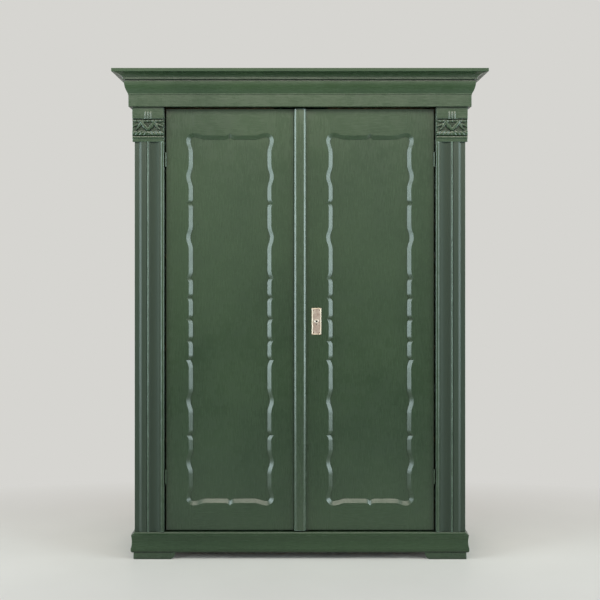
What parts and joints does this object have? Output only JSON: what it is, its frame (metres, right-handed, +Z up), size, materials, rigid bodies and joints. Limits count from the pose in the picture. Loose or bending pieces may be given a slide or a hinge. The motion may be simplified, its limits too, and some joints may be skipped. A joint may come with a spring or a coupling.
{
  "type": "cupboard",
  "caption": "Tall linen cupboard (kas) with paired framed doors, scalloped panel mouldings, fluted pilasters with carved capitals, a deep cornice and a moulded plinth on low feet.",
  "frame": {"origin": "on the floor, at the middle of the overall width and depth", "axes": "+Z up; -Y is the front, where the doors are; +X to the right of someone who faces them"},
  "size_m": [1.426, 0.59, 1.876],
  "materials": {
    "green_paint": "satin dark green paint on wood, a little worn at the edges",
    "bare_wood": "planed unpainted pine, aged",
    "iron": "dark iron, worn bright where it slides",
    "painted_iron": "iron painted over with the woodwork",
    "copper": "pinkish copper sheet, dulled"
  },
  "bodies": {
    "cabinet": {"back_boards": "bare_wood", "bolt_keeper": "iron", "bottom_board": "bare_wood", "bottom_ledges": "bare_wood", "bottom_rail": "bare_wood", "cap_board": "green_paint", "capital_left": "green_paint", "capital_right": "green_paint", "ceiling_board": "bare_wood", "cornice_front": "green_paint", "cornice_left": "green_paint", "cornice_right": "green_paint", "door_stops": "bare_wood", "foot_back_left": "green_paint", "foot_back_right": "green_paint", "foot_front_left": "green_paint", "foot_front_right": "green_paint", "frieze_back": "bare_wood", "frieze_front": "green_paint", "frieze_sides": "green_paint", "head_rail": "green_paint", "pilaster_left": "green_paint", "pilaster_right": "green_paint", "plinth_back": "bare_wood", "plinth_front": "green_paint", "plinth_left": "green_paint", "plinth_right": "green_paint", "post_hinge_halves": "painted_iron", "post_left": "green_paint", "post_right": "green_paint", "shelf_bearers": "bare_wood", "shelf_racks": "bare_wood", "shelves": "bare_wood", "side_frame_left": "green_paint", "side_frame_right": "green_paint", "side_panels": "green_paint"},
    "left_door": {"left_bottom_rail": "green_paint", "left_door_hinge_halves": "painted_iron", "left_hinge_stile": "green_paint", "left_meeting_stile": "green_paint", "left_panel": "green_paint", "left_top_rail": "green_paint", "lock_wear_plate": "iron", "top_bolt_plate": "iron", "turn_button_screw": "iron"},
    "right_door": {"key_plate": "copper", "lock_case": "iron", "meeting_strip": "green_paint", "right_bottom_rail": "green_paint", "right_door_hinge_halves": "painted_iron", "right_hinge_stile": "green_paint", "right_meeting_stile": "green_paint", "right_panel": "green_paint", "right_top_rail": "green_paint"},
    "lock_bolt": {"lock_bolt": "iron"},
    "top_bolt": {"top_bolt_bar": "iron"},
    "turn_button": {"turn_button": "bare_wood"}
  },
  "joints": [
    {"name": "right_door_hinge", "type": "hinge", "parent": "cabinet", "child": "right_door", "pos_m": [0.519, -0.2095, 0.92], "axis": [0, 0, 1], "range_deg": [0, 110]},
    {"name": "left_door_hinge", "type": "hinge", "parent": "cabinet", "child": "left_door", "pos_m": [-0.519, -0.2095, 0.92], "axis": [0, 0, -1], "range_deg": [0, 110]},
    {"name": "lock_bolt_slide", "type": "slide", "parent": "right_door", "child": "lock_bolt", "axis": [-1, 0, 0], "range_m": [0, 0.014]},
    {"name": "top_bolt_slide", "type": "slide", "parent": "left_door", "child": "top_bolt", "axis": [0, 0, 1], "range_m": [0, 0.017]},
    {"name": "turn_button_pivot", "type": "hinge", "parent": "left_door", "child": "turn_button", "pos_m": [-0.0711, -0.1729, 0.132], "axis": [0, 1, 0], "range_deg": [0, 90]}
  ]
}
